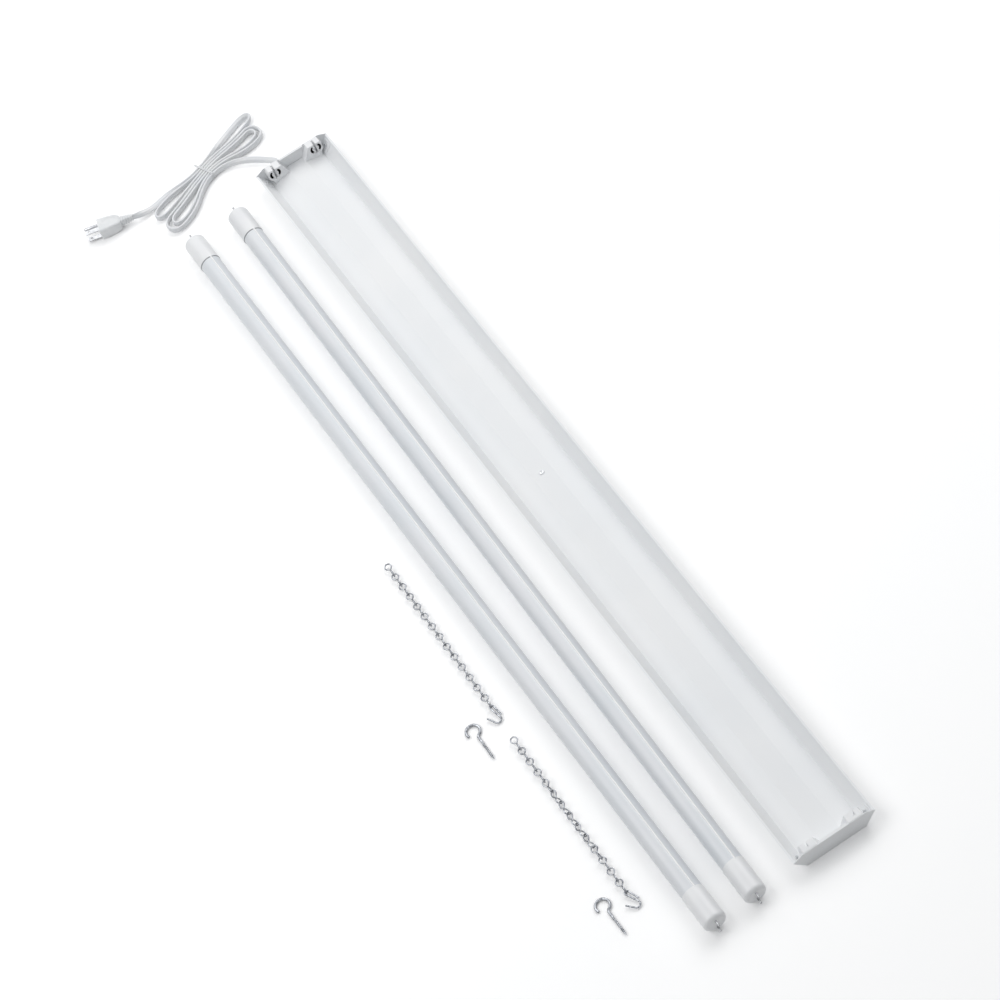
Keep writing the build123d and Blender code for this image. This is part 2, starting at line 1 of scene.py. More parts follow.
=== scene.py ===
# %% [markdown]
# # A strip light for two tube lamps, laid out with its parts
# The fixture lies on its back with its open side up. Beside it lie two tube lamps, two jack
# chains, their hooks and a folded mains cord. The measured parts come in as a fixed frame, and
# this script gives them their finishes, and makes again the pieces whose real surface is finer
# than the measured one: wire, cord, plug, caps, screws and tie. The camera comes first, then the
# finishes, then the pieces, led by the cord, since its tie and its plug follow from it.

# %% Load the frame
from math import cos, pi, radians, sin, sqrt

import bmesh
import bpy
from mathutils import Matrix, Vector


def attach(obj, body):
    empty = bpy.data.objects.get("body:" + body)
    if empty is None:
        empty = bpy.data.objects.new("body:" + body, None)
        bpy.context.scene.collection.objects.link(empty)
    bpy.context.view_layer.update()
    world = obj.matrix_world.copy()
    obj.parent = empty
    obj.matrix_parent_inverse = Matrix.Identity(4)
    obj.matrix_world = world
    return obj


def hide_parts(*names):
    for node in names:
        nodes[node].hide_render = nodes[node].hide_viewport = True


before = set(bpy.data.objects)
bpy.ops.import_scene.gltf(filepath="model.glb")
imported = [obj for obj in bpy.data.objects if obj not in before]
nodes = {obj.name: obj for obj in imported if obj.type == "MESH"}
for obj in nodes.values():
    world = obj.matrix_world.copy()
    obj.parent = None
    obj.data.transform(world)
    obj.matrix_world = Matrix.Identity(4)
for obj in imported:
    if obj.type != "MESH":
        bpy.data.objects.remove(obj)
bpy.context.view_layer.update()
print("parts in the frame:", len(nodes))

# %% [markdown]
# ## Camera
# A catalogue photograph of a long lamp is taken from far away with a long lens, so that the
# near end doesn't swell. Here that is a 125 mm lens about four metres away, looking steeply
# down along the housing.

# %% Camera
camera_data = bpy.data.cameras.new("long_lens")
camera_data.lens = 124.66
camera_data.sensor_width = 36.0
camera_data.clip_end = 50.0
camera = bpy.data.objects.new("camera", camera_data)
bpy.context.collection.objects.link(camera)
camera.location = (2.29877, -0.56094, 3.28182)
camera.rotation_euler = (radians(33.496), radians(13.122), radians(58.739))
bpy.context.scene.camera = camera
print("camera is", round(camera.location.length, 2), "m from the fixture")

# %% [markdown]
# ## Colours and nodes
# Paint makers and plastic makers give colours as sRGB values, while a renderer works in linear
# light, so one function turns the first into the second. Another adds a shader node with its
# settings and links, so that each finish reads as a short recipe.

# %% Helpers for materials


def linear(hex_colour):
    """An sRGB colour such as "F2F3F4" as linear red, green, blue and alpha."""
    parts = [int(hex_colour[i:i + 2], 16) / 255 for i in (0, 2, 4)]
    return [c / 12.92 if c <= 0.04045 else ((c + 0.055) / 1.055) ** 2.4 for c in parts] + [1.0]


def add_node(tree, kind, settings=(), inputs=(), **values):
    """Add a shader node with its settings, its inputs (linked or plain) and its named values."""
    node = tree.nodes.new(kind)
    for name, value in dict(settings).items():
        setattr(node, name, value)
    for name, value in values.items():
        node.inputs[name.replace("_", " ")].default_value = value
    for name, source in dict(inputs).items():
        if isinstance(source, bpy.types.NodeSocket):
            tree.links.new(source, node.inputs[name])
        else:
            node.inputs[name].default_value = source
    return node


def new_material(name, colour, roughness, metallic=0.0, ior=1.5):
    """A material with one principled shader, and the parts that a recipe goes on with."""
    material = bpy.data.materials.new(name)
    material.use_nodes = True
    tree = material.node_tree
    shader = tree.nodes["Principled BSDF"]
    shader.inputs["Base Color"].default_value = linear(colour)
    shader.inputs["Roughness"].default_value = roughness
    shader.inputs["Metallic"].default_value = metallic
    if not metallic:
        shader.inputs["IOR"].default_value = ior
    place = add_node(tree, "ShaderNodeTexCoord").outputs["Object"]
    return material, tree, shader, place


def add_grain(tree, shader, place, size_mm, height_mm, stretch=(1, 1, 1)):
    """A fine bump whose grains are size_mm wide and height_mm high."""
    scaled = add_node(tree, "ShaderNodeMapping", inputs={"Vector": place}, Scale=stretch)
    noise = add_node(tree, "ShaderNodeTexNoise", inputs={"Vector": scaled.outputs[0]},
                     Scale=1000 / size_mm, Detail=2.0)
    bump = add_node(tree, "ShaderNodeBump", inputs={"Height": noise.outputs[0]},
                    Strength=0.5, Distance=height_mm / 1000)
    tree.links.new(bump.outputs[0], shader.inputs["Normal"])


def add_mottle(tree, shader, place, size_mm, dark, light):
    """A slow drift between two close colours, as handling and age leave it."""
    noise = add_node(tree, "ShaderNodeTexNoise", inputs={"Vector": place},
                     Scale=1000 / size_mm, Detail=3.0)
    ramp = add_node(tree, "ShaderNodeValToRGB", inputs={"Fac": noise.outputs[0]})
    ramp.color_ramp.elements[0].color = linear(dark)
    ramp.color_ramp.elements[1].color = linear(light)
    ramp.color_ramp.elements[0].position = 0.35
    ramp.color_ramp.elements[1].position = 0.65
    tree.links.new(ramp.outputs[0], shader.inputs["Base Color"])
    return ramp


def add_wear(tree, shader, place, low, high, size_mm):
    """Roughness that varies between low and high, as a touched surface has."""
    noise = add_node(tree, "ShaderNodeTexNoise", inputs={"Vector": place},
                     Scale=1000 / size_mm, Detail=4.0)
    spread = add_node(tree, "ShaderNodeMapRange", inputs={"Value": noise.outputs[0]},
                      From_Min=0.3, From_Max=0.7, To_Min=low, To_Max=high)
    tree.links.new(spread.outputs[0], shader.inputs["Roughness"])


print("white enamel in linear light:", [round(c, 3) for c in linear("F3F4F5")])

# %% [markdown]
# ## Powder coated steel
# The tray, the cover and the end plates are cold rolled steel under white polyester powder. The
# coat levels to a very fine orange peel, about 2 mm across and a few micrometres high, which
# softens highlights without hiding the folds. It is half glossy, and hands leave it a little
# uneven.

# %% Powder coat
powder_coat, tree, shader, place = new_material("white_powder_coat", "F1F2F4", 0.42)
add_grain(tree, shader, place, 2.2, 0.02)
add_mottle(tree, shader, place, 160, "EFF1F3", "F3F4F5")
add_wear(tree, shader, place, 0.38, 0.48, 70)
print(powder_coat.name)

# %% [markdown]
# ## Lampholders and rotors
# A lampholder is a block of PBT, a hard plastic that stands the lamp's heat. Deep in its socket
# little light gets in, so beside the hub the walls of the pocket and of the rotor are painted
# black as painted shade, and the eye sees white plastic with black gaps beside the hub. The
# frame's socket lies 18.7 mm above the floor and 30.3 mm off the middle, so its own coordinates
# tell the shader where the inside begins.

# %% Lampholder finish
SOCKET_HEIGHT = 0.0187
SOCKET_OFFSET = 0.0303
HOLDER_FACE = 0.6015
SLOT_HALF = 0.0022
# black painted into the socket's deep pocket as painted shade
SOCKET_SHADE_BLACK = "0C0C0D"


def add_painted_socket_shade(tree, shader, place, ramp, reach, depth):
    """Painted shade beside the hub: black nearer the socket's axis than reach, deeper than depth."""
    axes = add_node(tree, "ShaderNodeSeparateXYZ", inputs={0: place})
    off_middle = add_node(tree, "ShaderNodeMath", {"operation": "ABSOLUTE"}, {0: axes.outputs[1]})
    across = add_node(tree, "ShaderNodeMath", {"operation": "SUBTRACT"},
                      {0: off_middle.outputs[0], 1: SOCKET_OFFSET})
    above = add_node(tree, "ShaderNodeMath", {"operation": "SUBTRACT"},
                     {0: axes.outputs[2], 1: SOCKET_HEIGHT})
    flat = add_node(tree, "ShaderNodeCombineXYZ", inputs={0: across.outputs[0], 1: above.outputs[0]})
    radius = add_node(tree, "ShaderNodeVectorMath", {"operation": "LENGTH"}, {0: flat.outputs[0]})
    near_axis = add_node(tree, "ShaderNodeMath", {"operation": "LESS_THAN"},
                         {0: radius.outputs["Value"], 1: reach})
    end = add_node(tree, "ShaderNodeMath", {"operation": "ABSOLUTE"}, {0: axes.outputs[0]})
    deep = add_node(tree, "ShaderNodeMath", {"operation": "GREATER_THAN"},
                    {0: end.outputs[0], 1: HOLDER_FACE + depth})
    inside = add_node(tree, "ShaderNodeMath", {"operation": "MULTIPLY"},
                      {0: near_axis.outputs[0], 1: deep.outputs[0]})
    to_side = add_node(tree, "ShaderNodeMath", {"operation": "ABSOLUTE"}, {0: across.outputs[0]})
    beside = add_node(tree, "ShaderNodeMath", {"operation": "GREATER_THAN"},
                      {0: to_side.outputs[0], 1: SLOT_HALF})
    # painted shade: the deep walls beside the hub turn black
    black = add_node(tree, "ShaderNodeMath", {"operation": "MULTIPLY"},
                     {0: inside.outputs[0], 1: beside.outputs[0]})
    colour = add_node(tree, "ShaderNodeMix", {"data_type": "RGBA"},
                      {0: black.outputs[0], 6: ramp.outputs[0], 7: linear(SOCKET_SHADE_BLACK)})
    tree.links.new(colour.outputs[2], shader.inputs["Base Color"])


holder_plastic, tree, shader, place = new_material("white_pbt", "F3F4F5", 0.38, ior=1.55)
add_grain(tree, shader, place, 0.6, 0.01)
ramp = add_mottle(tree, shader, place, 30, "F0F1F3", "F5F6F7")
add_painted_socket_shade(tree, shader, place, ramp, reach=0.00795, depth=0.0004)

rotor_plastic, tree, shader, place = new_material("white_pbt_rotor", "ECEDEF", 0.42, ior=1.55)
add_grain(tree, shader, place, 0.6, 0.01)
ramp = add_mottle(tree, shader, place, 6, "E6E7E9", "F0F1F2")
add_painted_socket_shade(tree, shader, place, ramp, reach=0.0090, depth=0.0009)
print("sockets are black below", HOLDER_FACE, "m")

# %% [markdown]
# ## Moulded plastics
# Lamp caps are polycarbonate, and the cord and plug are PVC. All are slightly rough, because
# their moulds are spark eroded to a fine texture, which is drawn coarser than the real 0.1 mm
# so that it shows.

# %% Moulded plastics
cap_plastic, tree, shader, place = new_material("white_polycarbonate", "EEEFF1", 0.34, ior=1.58)
add_grain(tree, shader, place, 0.8, 0.01)
add_mottle(tree, shader, place, 40, "ECEDEF", "F0F1F2")

cord_plastic, tree, shader, place = new_material("white_pvc_sheath", "E9EAEC", 0.4, ior=1.53)
add_grain(tree, shader, place, 1.2, 0.03)
add_mottle(tree, shader, place, 25, "E5E7EA", "EDEEEF")
add_wear(tree, shader, place, 0.34, 0.46, 8)

plug_plastic, tree, shader, place = new_material("white_pvc_plug", "E9EBED", 0.4, ior=1.53)
add_grain(tree, shader, place, 0.9, 0.02)
add_mottle(tree, shader, place, 18, "E5E7E9", "EDEEEF")

tie_plastic, tree, shader, place = new_material("tie_ribbon", "DDDEE0", 0.32, ior=1.53)
add_grain(tree, shader, place, 0.7, 0.02)
add_mottle(tree, shader, place, 5, "D6D8DB", "E4E5E6")
print("moulded plastics: cap, cord, plug, tie")

# %% [markdown]
# ## Lamp bodies
# Each lamp is half frosted polycarbonate, which spreads the light of the diodes, and half
# extruded aluminium under white paint, which carries their heat away. The extruded half has
# fine draw lines along its length, drawn wider than the real 0.2 mm so that they show.

# %% Lamp finishes
diffuser_plastic, tree, shader, place = new_material("frosted_polycarbonate", "E3E6EA", 0.3, ior=1.58)
add_grain(tree, shader, place, 1.0, 0.01)
add_mottle(tree, shader, place, 90, "E0E4E8", "E6E8EB")

lamp_paint, tree, shader, place = new_material("painted_extrusion", "DFE2E7", 0.34)
add_grain(tree, shader, place, 1.4, 0.02, stretch=(0.01, 1, 1))
add_mottle(tree, shader, place, 120, "DBDFE4", "E2E5E9")

board_mask, tree, shader, place = new_material("white_solder_mask", "EDEDE8", 0.4)
add_grain(tree, shader, place, 1.5, 0.02)
add_mottle(tree, shader, place, 10, "E8E8E2", "F2F2EE")
print("lamp finishes: diffuser, painted extrusion, board")

# %% [markdown]
# ## Plated metals
# Chains and hooks are drawn steel wire with bright zinc, whose thin bluish coat has small dull
# spots where the links rub and the passivation took badly. Pins and blades are brass under
# nickel. Screws are zinc plated too, paler and a little duller.

# %% Plated metals
zinc, tree, shader, place = new_material("bright_zinc", "9A9CA0", 0.3, metallic=1.0)
add_grain(tree, shader, place, 1.5, 0.03)
add_mottle(tree, shader, place, 3, "6C6E73", "B9BBBF")
add_wear(tree, shader, place, 0.22, 0.42, 3)

nickel, tree, shader, place = new_material("nickel_on_brass", "B4B5B7", 0.2, metallic=1.0)
add_grain(tree, shader, place, 1.0, 0.01)
add_mottle(tree, shader, place, 5, "A6A7AA", "C0C1C3")
add_wear(tree, shader, place, 0.16, 0.3, 3)

screw_zinc, tree, shader, place = new_material("zinc_screw", "D4D5D7", 0.4, metallic=1.0)
add_grain(tree, shader, place, 0.8, 0.02)
add_mottle(tree, shader, place, 3, "CCCED0", "DBDCDD")
add_wear(tree, shader, place, 0.32, 0.5, 2)
print("metals:", zinc.name, nickel.name, screw_zinc.name)

# %% [markdown]
# ## Helpers for pieces
# A piece made here is a mesh or a curve that rides on one of the frame's bodies, takes its
# finish and, where it stands for a measured part, replaces it. Round things are turned on a
# lathe: a line of radii and heights, spun about an axis. Everything else starts as a row of
# rings that are joined by faces.

# %% Helpers for pieces


def add_piece(name, data, material, body, replaced=()):
    """Link an object with its finish, let it ride on a body and replace nodes."""
    piece = bpy.data.objects.new(name, data)
    bpy.context.collection.objects.link(piece)
    data.materials.append(material)
    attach(piece, body)
    if replaced:
        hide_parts(*replaced)
    return piece


def join_rings(rings, closed_start=True, closed_end=True):
    """Vertices and faces of rings with equal counts, each joined to the next."""
    count = len(rings[0])
    points = [point for ring in rings for point in ring]
    faces = []
    for level in range(len(rings) - 1):
        low, high = level * count, (level + 1) * count
        for step in range(count):
            after = (step + 1) % count
            faces.append((low + step, low + after, high + after, high + step))
    if closed_start:
        faces.append(tuple(reversed(range(count))))
    if closed_end:
        faces.append(tuple(range((len(rings) - 1) * count, len(rings) * count)))
    return points, faces


def shaded_mesh(name, points, faces, crease=35):
    """A mesh that is shaded smoothly, apart from edges sharper than crease degrees."""
    mesh = bpy.data.meshes.new(name)
    mesh.from_pydata([tuple(point) for point in points], [], faces)
    shape = bmesh.new()
    shape.from_mesh(mesh)
    bmesh.ops.recalc_face_normals(shape, faces=shape.faces)
    shape.to_mesh(mesh)
    shape.free()
    mesh.polygons.foreach_set("use_smooth", [True] * len(mesh.polygons))
    mesh.set_sharp_from_angle(angle=radians(crease))
    return mesh


def lathe_mesh(name, profile_mm, origin, axis, side, closed=False, steps=64):
    """A profile of (radius, height) pairs in mm, turned about an axis; closed joins its ends."""
    other = axis.cross(side)
    spokes = [side * cos(2 * pi * step / steps) + other * sin(2 * pi * step / steps)
              for step in range(steps)]
    rings = []
    for radius, height in profile_mm:
        middle = origin + axis * (height / 1000)
        rings.append([middle + spoke * (radius / 1000) for spoke in spokes])
    if closed:
        return shaded_mesh(name, *join_rings(rings + rings[:1], False, False))
    return shaded_mesh(name, *join_rings(rings))


def swept_curve(name, section_object, route, sizes, resolution):
    """A spline along places and tilts that carries a section, enlarged by each point's size."""
    curve = bpy.data.curves.new(name, "CURVE")
    curve.dimensions = "3D"
    curve.twist_mode = "Z_UP"
    curve.resolution_u = resolution
    curve.bevel_mode = "OBJECT"
    curve.bevel_object = section_object
    curve.use_fill_caps = True
    spline = curve.splines.new("NURBS")
    spline.points.add(len(route) - 1)
    for point, (place_on_route, lean), size in zip(spline.points, route, sizes):
        point.co = (*place_on_route, 1)
        point.tilt = radians(lean)
        point.radius = size
    spline.order_u = 3
    spline.use_endpoint_u = True
    return curve


def wire_curve(name, lines, radius, sides=3):
    """A curve with one round wire for each list of points."""
    curve = bpy.data.curves.new(name, "CURVE")
    curve.dimensions = "3D"
    curve.bevel_depth = radius
    curve.bevel_resolution = sides
    curve.use_fill_caps = True
    for points in lines:
        spline = curve.splines.new("POLY")
        spline.points.add(len(points) - 1)
        for point, place_on_wire in zip(spline.points, points):
            point.co = (*place_on_wire, 1)
        spline.use_smooth = True
    return curve


print("helpers: pieces, rings, lathe, swept section, wire")

# %% [markdown]
# ## Mains cord
# The cord is a flat one: three cores side by side under one white sheath, with a groove on each
# side of the middle core. It leaves the far plate, goes through the waist of a tied hank seven
# times, and comes out to its plug. Such a cord bends easily only across its thin side, so in
# the hank it stands on edge. Each fold is a few points round its end, and the spline rounds
# them. The lead, the tail and the tall fold's outer leg lie on their broad side, so there the
# points come down by the difference and carry a tilt of a quarter turn.

# %% Cord route
CORD_HEIGHT = 0.0055
HANK_LEAN = radians(22.1)
HANK_MIDDLE = Vector((-0.6785, -0.097, CORD_HEIGHT))
PASS_PITCH = 3.9
BEND_LENGTH = 71.0


def in_hank(across, along, lift=0.0):
    """A point of the hank: millimetres across and along it from the tie, and upwards."""
    side = Vector((cos(HANK_LEAN), sin(HANK_LEAN), 0))
    up = Vector((-sin(HANK_LEAN), cos(HANK_LEAN), 0))
    return HANK_MIDDLE + side * (across / 1000) + up * (along / 1000) + Vector((0, 0, lift / 1000))


# Each fold: the passes that it joins, its sideways place, its radius and its straight part
hank_folds = (
    (0, 3, 16.5, 12.6, 10.0),
    (3, 2, 16.6, 7.4, 2.0),
    (2, 1, 15.8, 7.4, 5.0),
    (1, 4, 17.5, 12.6, 3.0),
    (4, 5, -10.9, 7.4, 9.0),
    (5, 6, -7.4, 7.4, 19.5),
)
route = [
    (Vector((-0.6180, -0.0140, 0.0055)), 0),
    (Vector((-0.6290, -0.0146, 0.0058)), 20),
    (Vector((-0.6450, -0.0305, 0.0066)), 50),
    (Vector((-0.6590, -0.0470, 0.0068)), 50),
    (Vector((-0.6678, -0.0640, 0.0062)), 25),
    (in_hank(11.9, 9.0), 0),
]
for number, (before, after, middle, radius, straight) in enumerate(hank_folds):
    way = 1 if number % 2 == 1 else -1
    turn_side = 1 if after > before else -1
    tip = way * (BEND_LENGTH + straight + radius)
    for leg in (0, 1):
        waist = (3 - (before, after)[leg]) * PASS_PITCH
        edge = middle + radius * turn_side * (1 if leg == 0 else -1)
        bulge = 0.5 if edge > middle else -0.5
        broad = 85 if (number, leg) == (5, 1) else 0
        sink = -2.0 if broad else 0.0
        points = [
            (in_hank(waist, way * 17.0), 0),
            (in_hank(edge + bulge, way * 56.0, sink), broad),
            (in_hank(edge, tip, sink * 0.5), broad / 2),
        ]
        route += points if leg == 0 else reversed(points)
route += [
    (in_hank(-11.7, -4.0), 0),
    (in_hank(-13.4, -22.0), 0),
    (Vector((-0.6804, -0.1499, 0.0048)), 40),
    (Vector((-0.6799, -0.1624, 0.0038)), 85),
    (Vector((-0.6758, -0.1805, 0.0040)), 85),
    (Vector((-0.6738, -0.1958, 0.0080)), 60),
    (Vector((-0.6769, -0.2074, 0.0092)), 0),
]
print("cord route points:", len(route))

# %% [markdown]
# The sheath is drawn through a die, so its section is the same everywhere: three round lobes
# side by side. In Blender one closed profile curve, swept along the route with its twist kept
# upright, gives exactly that, and each point's tilt leans it over.

# %% Cord
LOBE_RADIUS = 0.0017
LOBE_SPACING = 0.0025
section = bpy.data.curves.new("flat_cord_section", "CURVE")
section.dimensions = "2D"
outline = []
for lobe, start, end in ((1, -52, 52), (0, 46, 134), (-1, 128, 232), (0, 226, 314)):
    for step in range(7):
        angle = radians(start + (end - start) * step / 6)
        outline.append((LOBE_RADIUS * sin(angle), lobe * LOBE_SPACING + LOBE_RADIUS * cos(angle)))
spline = section.splines.new("POLY")
spline.points.add(len(outline) - 1)
for point, (x, y) in zip(spline.points, outline):
    point.co = (x, y, 0, 1)
spline.use_cyclic_u = True
profile = bpy.data.objects.new("flat_cord_section", section)

line = swept_curve("mains_cord", profile, route, [1.0] * len(route), 10)
cord = add_piece("mains_cord", line, cord_plastic, "housing",
                 ("cord_lead", "cord_hank", "cord_tail"))
print("cord: a spline of", len(route), "points")

# %% [markdown]
# ## Strain relief
# Where the cord leaves the steel, a soft sleeve keeps it from bending sharply at the edge. It is
# moulded on, fits the cord's own section and thins out over 21 mm. The same profile does for it,
# swept along the start of the same spline, with each point's radius a little larger than the
# cord's. Its last point is the middle of the spline's second run, where a spline of order 3
# touches its control line.

# %% Strain relief
RELIEF_SIZES = (1.24, 1.17, 1.06)
halfway = ((route[1][0] + route[2][0]) / 2, (route[1][1] + route[2][1]) / 2)
relief_route = [route[0], route[1], halfway]
sleeve = swept_curve("lead_relief", profile, relief_route, RELIEF_SIZES, 16)
relief = add_piece("lead_relief", sleeve, cord_plastic, "housing")
print("strain relief:", len(relief_route), "points")

# %% [markdown]
# ## Tie round the hank
# The tie is the kind that closes bread bags: a soft wire between two plastic ribbons, pressed
# flat at its edges. It goes round the waist once and its ends stand out at the left. A ribbon
# section with a bead in the middle, carried round a rounded rectangle, makes the band.

# %% Tie
ACROSS = Vector((cos(HANK_LEAN), sin(HANK_LEAN), 0))
ALONG = Vector((-sin(HANK_LEAN), cos(HANK_LEAN), 0))
UP = Vector((0, 0, 1))


def rounded_ring(origin, side, up, half_width, half_height, corner, steps=6, flats=1):
    """A ring of points round a rounded rectangle, with extra points along its flat sides."""
    points = []
    for quarter in range(4):
        middle_x = (half_width - corner) * (1 if quarter in (0, 3) else -1)
        middle_y = (half_height - corner) * (1 if quarter in (0, 1) else -1)
        for step in range(steps + 1):
            angle = pi / 2 * (quarter + step / steps)
            points.append((middle_x + corner * cos(angle), middle_y + corner * sin(angle)))
        following = (quarter + 1) % 4
        next_x = (half_width - corner) * (1 if following in (0, 3) else -1)
        next_y = (half_height - corner) * (1 if following in (0, 1) else -1)
        angle = pi / 2 * (quarter + 1)
        goal = (next_x + corner * cos(angle), next_y + corner * sin(angle))
        start = points[-1]
        for step in range(1, flats):
            share = step / flats
            points.append((start[0] + (goal[0] - start[0]) * share,
                           start[1] + (goal[1] - start[1]) * share))
    return [origin + side * x + up * y for x, y in points]


TIE_WIDTH = 0.0030
TIE_CORNER = 0.0030
OUTER_WIDTH, OUTER_HEIGHT = 0.0137, 0.0046
INNER_WIDTH, INNER_HEIGHT = 0.0136, 0.0045
END_START, END_LIFT, END_SLOPE = 0.0138, 0.0022, 0.25
RIBBON = ((-1.0, 0.00022), (-0.3, 0.00022), (-0.16, 0.00055),
          (0.16, 0.00055), (0.3, 0.00022), (1.0, 0.00022))
tie_rings = []
for share, thickness in RIBBON:
    tie_rings.append(rounded_ring(HANK_MIDDLE + ALONG * (TIE_WIDTH / 2 * share), ACROSS, UP,
                                  OUTER_WIDTH + thickness, OUTER_HEIGHT + thickness, TIE_CORNER))
for share, _ in reversed(RIBBON):
    tie_rings.append(rounded_ring(HANK_MIDDLE + ALONG * (TIE_WIDTH / 2 * share), ACROSS, UP,
                                  INNER_WIDTH, INNER_HEIGHT, TIE_CORNER))
tie_points, tie_faces = join_rings(tie_rings + tie_rings[:1], False, False)
end_rings = []
for reach in (0.0, 0.0018, 0.0036, 0.0052):
    middle = HANK_MIDDLE - ACROSS * (END_START + reach) + UP * (END_LIFT + END_SLOPE * reach)
    end_rings.append(rounded_ring(middle, ALONG, UP, TIE_WIDTH / 2, 0.00045, 0.0002, 3))
end_points, end_faces = join_rings(end_rings)
end_faces = [tuple(corner + len(tie_points) for corner in face) for face in end_faces]
tie = add_piece("hank_tie", shaded_mesh("hank_tie", tie_points + end_points, tie_faces + end_faces),
                tie_plastic, "housing", ("cord_tie",))
print("tie rings:", len(tie_rings))

# %% [markdown]
# ## Plug
# A moulded plug is one body with its strain relief. The relief is cut by grooves, so that it
# bends with the cord and keeps it from kinking. The grip widens to the front in a flowing
# curve, and an oval dip on each broad side gives the thumb its place. Rings of a rounded
# rectangle, one after the other along the plug, draw all of it.

# %% Plug body
PLUG_START = Vector((-0.6769, -0.2074, 0.0092))
PLUG_TURN = radians(255.0)
PLUG_AHEAD = Vector((cos(PLUG_TURN), sin(PLUG_TURN), 0))
PLUG_SIDE = Vector((-sin(PLUG_TURN), cos(PLUG_TURN), 0))
RELIEF_LENGTH = 16.0
RIB_PITCH = 3.2
GRIP_END = 45.0
DIP_MIDDLE, DIP_HALF_LENGTH, DIP_HALF_WIDTH = 30.0, 11.0, 7.4


def between(table, at):
    """Values of a table of rows, each a place and its values, eased between the rows."""
    for before, after in zip(table, table[1:]):
        if before[0] <= at <= after[0]:
            share = (at - before[0]) / (after[0] - before[0])
            return [a + (b - a) * share for a, b in zip(before[1:], after[1:])]
    return table[-1][1:]


def plug_ring(at, half_width, half_height, corner, dip=0.0):
    """A ring of the plug, at millimetres from its rear, with the thumb's dip pressed in."""
    ring = rounded_ring(PLUG_START + PLUG_AHEAD * (at / 1000), PLUG_SIDE, UP, half_width / 1000,
                        half_height / 1000, corner / 1000, 5, 12)
    if not dip:
        return ring
    dipped = []
    for point in ring:
        off = point - PLUG_START
        sideways = off.dot(PLUG_SIDE) * 1000 / DIP_HALF_WIDTH
        lengthways = (at - DIP_MIDDLE) / DIP_HALF_LENGTH
        room = max(0.0, 1 - sideways ** 2 - lengthways ** 2)
        depth = dip / 1000 * min(1.0, 2.2 * room)
        level = abs(off.z) * 1000 > half_height - 0.3
        dipped.append(point - UP * (depth if off.z > 0 else -depth) if level else point)
    return dipped


relief_rings = []
for rib in range(5):
    start = rib * RIB_PITCH
    for at, scale in ((start, 0.80), (start, 0.97), (start + 0.25, 1.0), (start + 1.75, 1.0),
                      (start + 2.0, 0.97), (start + 2.0, 0.78), (start + RIB_PITCH, 0.78)):
        half_height = 4.9 + 1.3 * at / RELIEF_LENGTH
        half_width = 2.9 + 2.4 * at / RELIEF_LENGTH
        relief_rings.append(plug_ring(at, half_width * scale, half_height * scale, 1.6))
grip_table = (
    (16.0, 6.0, 5.6, 2.4), (17.0, 7.2, 6.3, 2.6), (19.0, 8.5, 7.2, 2.8), (23.0, 9.7, 8.2, 2.8),
    (29.0, 10.5, 8.8, 2.6), (36.0, 11.0, 9.0, 2.4), (44.2, 11.3, 9.1, 2.2), (45.0, 11.0, 8.8, 2.0),
)
grip_places = [RELIEF_LENGTH, 16.4, 17.0, 17.6, 18.3]
grip_places += [19.0 + 0.9 * step for step in range(28)] + [44.2, 44.7, GRIP_END]
grip_rings = [plug_ring(at, *between(grip_table, at), dip=0.9) for at in grip_places]
relief_points, relief_faces = join_rings(relief_rings)
grip_points, grip_faces = join_rings(grip_rings)
grip_faces = [tuple(corner + len(relief_points) for corner in face) for face in grip_faces]
plug = add_piece("moulded_plug",
                 shaded_mesh("moulded_plug", relief_points + grip_points, relief_faces + grip_faces),
                 plug_plastic, "housing", ("plug_body",))
print("plug rings:", len(relief_rings) + len(grip_rings))

# %% [markdown]
# The ground pin is turned or pressed round with a domed tip, longer than the blades, so that it
# meets its contact first. The blades are sheet brass with a hole near the tip, and the measured
# ones already have that shape.

# %% Ground pin
PIN_RADIUS, PIN_STRAIGHT, PIN_DOME = 2.4, 17.6, 1.9
PIN_OFF_MIDDLE = 0.0073
pin_profile = [(PIN_RADIUS, -0.5), (PIN_RADIUS, PIN_STRAIGHT)]
for angle in (20, 40, 58, 74, 84):
    pin_profile.append((PIN_RADIUS * cos(radians(angle)),
                        PIN_STRAIGHT + PIN_DOME * sin(radians(angle))))
pin_place = PLUG_START + PLUG_AHEAD * (GRIP_END / 1000) - PLUG_SIDE * PIN_OFF_MIDDLE
pin_mesh = lathe_mesh("ground_pin", pin_profile, pin_place, PLUG_AHEAD, PLUG_SIDE, steps=32)
ground_pin = add_piece("ground_pin", pin_mesh, nickel, "housing",
                       ("plug_ground_pin",))
print("ground pin:", len(pin_mesh.vertices), "vertices")

# %% [markdown]
# ## Screws
# The four screws through the walls and the one in the cover are pan heads with a cross recess,
# zinc plated. A lathe gives the domed head. Two thin wedges, crossed and cut out of it, give
# the recess, as the punch does on the real one.

# %% Screws
HEAD_PROFILE = ((1.6, -3.5), (1.6, 0.0), (3.05, 0.0), (3.2, 0.25),
                (3.1, 0.7), (2.8, 1.15), (2.2, 1.5), (1.2, 1.7))
RECESS_WEDGE = ((0.6, 0.7, 0.25), (2.2, 2.1, 0.42))


def cut_out(body_mesh, cutter_mesh):
    """The first mesh with the second one cut out of it."""
    body_object = bpy.data.objects.new("to_cut", body_mesh)
    cutter_object = bpy.data.objects.new("cutter", cutter_mesh)
    for item in (body_object, cutter_object):
        bpy.context.collection.objects.link(item)
    cut = body_object.modifiers.new("cut", "BOOLEAN")
    cut.operation = "DIFFERENCE"
    cut.solver = "EXACT"
    cut.object = cutter_object
    evaluated = body_object.evaluated_get(bpy.context.evaluated_depsgraph_get())
    finished = bpy.data.meshes.new_from_object(evaluated)
    for item in (body_object, cutter_object):
        bpy.data.objects.remove(item)
    return finished


